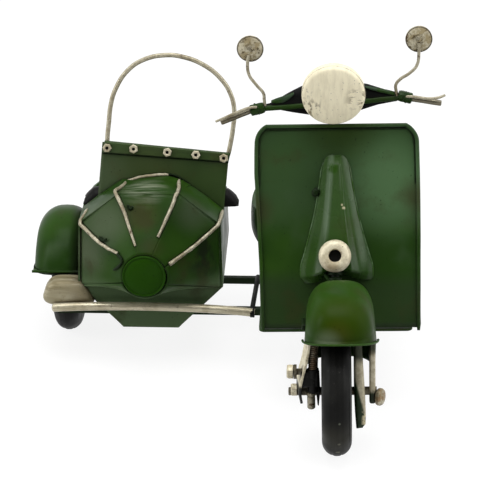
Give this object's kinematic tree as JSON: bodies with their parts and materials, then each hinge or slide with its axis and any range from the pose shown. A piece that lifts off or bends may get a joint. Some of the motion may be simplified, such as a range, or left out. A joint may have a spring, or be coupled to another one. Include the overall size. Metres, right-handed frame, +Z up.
{
  "type": "sidecar motorcycle model",
  "caption": "Pressed-tin shelf model of a small-wheeled motor scooter with a faceted sidecar, wire hoop screen, rolling wheels and turning handlebar",
  "frame": {"origin": "centre of the bounding box on the ground plane that the three wheels stand on", "axes": "+Z up; -Y is the way the scooter faces; -X is the sidecar's side, the rider's right"},
  "size_m": [0.2088, 0.2525, 0.1871],
  "materials": {
    "green_paint": "dark green enamel with a brown patina and worn edges",
    "dark_paint": "blackened green enamel",
    "aged_silver": "champagne silver paint, brushed and spotted with rust",
    "bare_steel": "dull silver tube",
    "rust_brown": "rust brown",
    "tyre": "smooth black rubber",
    "black_pad": "black rubber",
    "seat": "dark brown leathercloth",
    "lamp_red": "dark red lamp"
  },
  "bodies": {
    "chassis": {"leg_shield": "green_paint", "horn_cover": "green_paint", "horn_ring": "aged_silver", "head_tube": "dark_paint", "floorboard": "green_paint", "spine_tube": "dark_paint", "rear_body": "green_paint", "cowl_left": "green_paint", "cowl_right": "green_paint", "rider_saddle": "seat", "rider_saddle_post": "dark_paint", "pillion_saddle": "seat", "pillion_saddle_post": "dark_paint", "tail_lamp": "lamp_red", "rear_arm": "dark_paint", "silencer": "bare_steel", "tub": "green_paint", "nose": "green_paint", "nose_cap": "green_paint", "ridge_wires": "aged_silver", "windscreen_panel": "green_paint", "screen_strip": "green_paint", "screen_hoop": "aged_silver", "strip_nuts": "green_paint", "coaming_pad": "black_pad", "seat_cushion": "seat", "seat_back": "seat", "step_box": "aged_silver", "sidecar_fender": "green_paint", "bumper": "bare_steel", "front_cross_bar": "dark_paint", "rear_cross_bar": "dark_paint", "side_rail": "bare_steel", "sidecar_axle": "dark_paint"},
    "steering": {"steering_column": "green_paint", "fork": "green_paint", "front_fender": "green_paint", "front_axle": "aged_silver", "fender_stay": "aged_silver", "front_spring": "rust_brown", "front_damper": "dark_paint", "link_strip": "aged_silver", "handlebar": "green_paint", "grips": "bare_steel", "bar_collars": "green_paint", "headset_cowl": "green_paint", "headlamp": "aged_silver", "levers": "aged_silver", "mirror_left": "aged_silver", "mirror_right": "aged_silver"},
    "front_wheel": {"front_tyre": "tyre", "front_rim": "dark_paint"},
    "rear_wheel": {"rear_tyre": "tyre", "rear_rim": "dark_paint"},
    "sidecar_wheel": {"sidecar_tyre": "tyre", "sidecar_rim": "dark_paint"}
  },
  "joints": [
    {"name": "steer", "type": "hinge", "parent": "chassis", "child": "steering", "pos_m": [0.05027, -0.03407, 0.12591], "axis": [-0.0218, 0.454, 0.8907], "range_deg": [-25, 25]},
    {"name": "front_spin", "type": "hinge", "parent": "steering", "child": "front_wheel", "pos_m": [0.0526, -0.0958, 0.0305], "axis": [0.9997, 0, 0.0244], "continuous": true},
    {"name": "rear_spin", "type": "hinge", "parent": "chassis", "child": "rear_wheel", "pos_m": [0.0526, 0.0872, 0.0305], "axis": [0.9997, 0, 0.0244], "continuous": true},
    {"name": "sidecar_spin", "type": "hinge", "parent": "chassis", "child": "sidecar_wheel", "pos_m": [-0.0879, 0.0432, 0.0305], "axis": [1, 0, 0], "continuous": true}
  ]
}
